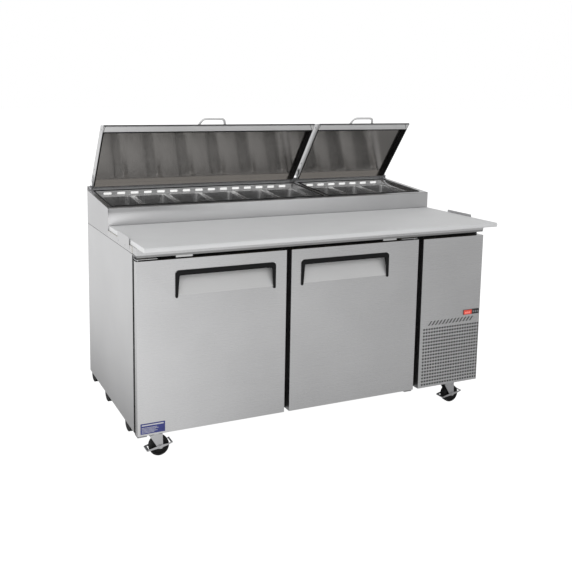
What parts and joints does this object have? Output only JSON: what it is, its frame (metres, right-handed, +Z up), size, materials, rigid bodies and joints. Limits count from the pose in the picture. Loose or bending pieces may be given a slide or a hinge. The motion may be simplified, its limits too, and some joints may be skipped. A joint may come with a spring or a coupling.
{
  "type": "sandwich prep table",
  "caption": "Refrigerated prep table on casters: a two-door insulated cabinet, cutting board, raised sloping pan rail under hinged lids, and a grilled machine bay.",
  "frame": {"origin": "on the floor, at the centre of the footprint's bounding box", "axes": "+Z up, the doors face -Y, +X runs along the width to the right as seen from the front"},
  "size_m": [1.7052, 0.945, 1.3728],
  "materials": {
    "stainless": "horizontal brushed",
    "stainless_side": "fine brushed",
    "mirror_steel": "bright annealed",
    "liner_aluminium": "satin",
    "foam": "rigid foam",
    "black_plastic": "fine texture",
    "black_gloss": "gloss",
    "gasket": "soft",
    "board": "matte white",
    "chrome": "polished",
    "zinc": "bright zinc",
    "galvanised": "galvanised",
    "wheel_rubber": "matte",
    "black_paint": "satin black",
    "white_wire": "plastic-coated wire",
    "button_rubber": "matte"
  },
  "bodies": {
    "cabinet": {"side_panels": "stainless_side", "back_panel": "galvanised", "bottom_pan": "galvanised", "wall_insulation": "foam", "liner_panels": "liner_aluminium", "door_frame": "black_plastic", "worktop": "stainless", "board_brackets": "stainless", "rail_panels": "stainless", "rail_top_frame": "stainless", "rail_gaskets": "gasket", "left_pans": "mirror_steel", "right_pans": "mirror_steel", "well_rim": "stainless", "lid_hinge_brackets": "stainless", "door_hinge_brackets": "zinc", "grille_panel": "stainless", "controller": "black_gloss", "unit_base": "galvanised", "condenser": "black_paint", "compressor": "black_paint", "evaporator": "liner_aluminium", "shelves": "white_wire", "shelf_supports": "stainless", "caster_plates": "zinc", "rubber_pads": "gasket", "power_inlet": "black_plastic"},
    "left_door": {"left_door_skin": "stainless", "left_door_core": "foam", "left_door_liner": "liner_aluminium", "left_door_gasket": "gasket", "left_door_handle": "black_plastic"},
    "left_lid": {"left_lid_shell": "stainless", "left_lid_liner": "mirror_steel", "left_lid_handle": "chrome"},
    "right_door": {"right_door_skin": "stainless", "right_door_core": "foam", "right_door_liner": "liner_aluminium", "right_door_gasket": "gasket", "right_door_handle": "black_plastic"},
    "right_lid": {"right_lid_shell": "stainless", "right_lid_liner": "mirror_steel", "right_lid_handle": "chrome"},
    "cutting_board": {"cutting_board": "board"},
    "condenser_fan": {"condenser_fan": "liner_aluminium"},
    "evaporator_fan": {"evaporator_fan": "black_plastic"},
    "set_button": {"set_button": "button_rubber"},
    "down_button": {"down_button": "button_rubber"},
    "up_button": {"up_button": "button_rubber"},
    "front_left_fork": {"front_left_fork": "zinc"},
    "front_left_wheel": {"front_left_wheel": "wheel_rubber"},
    "front_left_brake": {"front_left_brake": "zinc"},
    "front_right_fork": {"front_right_fork": "zinc"},
    "front_right_wheel": {"front_right_wheel": "wheel_rubber"},
    "front_right_brake": {"front_right_brake": "zinc"},
    "rear_left_fork": {"rear_left_fork": "zinc"},
    "rear_left_wheel": {"rear_left_wheel": "wheel_rubber"},
    "rear_right_fork": {"rear_right_fork": "zinc"},
    "rear_right_wheel": {"rear_right_wheel": "wheel_rubber"}
  },
  "joints": [
    {"name": "left_door_hinge", "type": "hinge", "parent": "cabinet", "child": "left_door", "pos_m": [-0.839, -0.3555, 0.5], "axis": [0, 0, -1], "range_deg": [0, 110]},
    {"name": "right_door_hinge", "type": "hinge", "parent": "cabinet", "child": "right_door", "pos_m": [0.467, -0.3555, 0.5], "axis": [0, 0, 1], "range_deg": [0, 110]},
    {"name": "left_lid_hinge", "type": "hinge", "parent": "cabinet", "child": "left_lid", "pos_m": [0, 0.44575, 1.02955], "axis": [1, 0, 0], "range_deg": [-20, 57.7]},
    {"name": "right_lid_hinge", "type": "hinge", "parent": "cabinet", "child": "right_lid", "pos_m": [0, 0.44575, 1.02955], "axis": [1, 0, 0], "range_deg": [-20, 57.7]},
    {"name": "board_lift", "type": "slide", "parent": "cabinet", "child": "cutting_board", "axis": [0, 0, 1], "range_m": [0, 0.075]},
    {"name": "condenser_fan_spin", "type": "hinge", "parent": "cabinet", "child": "condenser_fan", "pos_m": [0.672, -0.2485, 0.29], "axis": [0, 1, 0], "continuous": true},
    {"name": "evaporator_fan_spin", "type": "hinge", "parent": "cabinet", "child": "evaporator_fan", "pos_m": [0.39, 0.0775, 0.67], "axis": [1, 0, 0], "continuous": true},
    {"name": "set_button_press", "type": "slide", "parent": "cabinet", "child": "set_button", "axis": [0, 1, 0], "range_m": [0, 0.001], "stiffness_N_per_m": 400, "springref_m": -0.0005},
    {"name": "down_button_press", "type": "slide", "parent": "cabinet", "child": "down_button", "axis": [0, 1, 0], "range_m": [0, 0.001], "stiffness_N_per_m": 400, "springref_m": -0.0005},
    {"name": "up_button_press", "type": "slide", "parent": "cabinet", "child": "up_button", "axis": [0, 1, 0], "range_m": [0, 0.001], "stiffness_N_per_m": 400, "springref_m": -0.0005},
    {"name": "front_left_swivel", "type": "hinge", "parent": "cabinet", "child": "front_left_fork", "pos_m": [-0.759, -0.3085, 0.1], "axis": [0, 0, 1], "continuous": true},
    {"name": "front_left_roll", "type": "hinge", "parent": "front_left_fork", "child": "front_left_wheel", "pos_m": [-0.743, -0.3085, 0.0425], "axis": [0, 1, 0], "continuous": true},
    {"name": "front_left_brake_tilt", "type": "hinge", "parent": "front_left_fork", "child": "front_left_brake", "pos_m": [-0.743, -0.3085, 0.0425], "axis": [0, 1, 0], "range_deg": [0, 20]},
    {"name": "front_right_swivel", "type": "hinge", "parent": "cabinet", "child": "front_right_fork", "pos_m": [0.729, -0.3085, 0.1], "axis": [0, 0, 1], "continuous": true},
    {"name": "front_right_roll", "type": "hinge", "parent": "front_right_fork", "child": "front_right_wheel", "pos_m": [0.745, -0.3085, 0.0425], "axis": [0, 1, 0], "continuous": true},
    {"name": "front_right_brake_tilt", "type": "hinge", "parent": "front_right_fork", "child": "front_right_brake", "pos_m": [0.745, -0.3085, 0.0425], "axis": [0, 1, 0], "range_deg": [0, 20]},
    {"name": "rear_left_swivel", "type": "hinge", "parent": "cabinet", "child": "rear_left_fork", "pos_m": [-0.759, 0.3795, 0.1], "axis": [0, 0, 1], "continuous": true},
    {"name": "rear_left_roll", "type": "hinge", "parent": "rear_left_fork", "child": "rear_left_wheel", "pos_m": [-0.743, 0.3795, 0.0425], "axis": [0, 1, 0], "continuous": true},
    {"name": "rear_right_swivel", "type": "hinge", "parent": "cabinet", "child": "rear_right_fork", "pos_m": [0.729, 0.3795, 0.1], "axis": [0, 0, 1], "continuous": true},
    {"name": "rear_right_roll", "type": "hinge", "parent": "rear_right_fork", "child": "rear_right_wheel", "pos_m": [0.745, 0.3795, 0.0425], "axis": [0, 1, 0], "continuous": true}
  ]
}
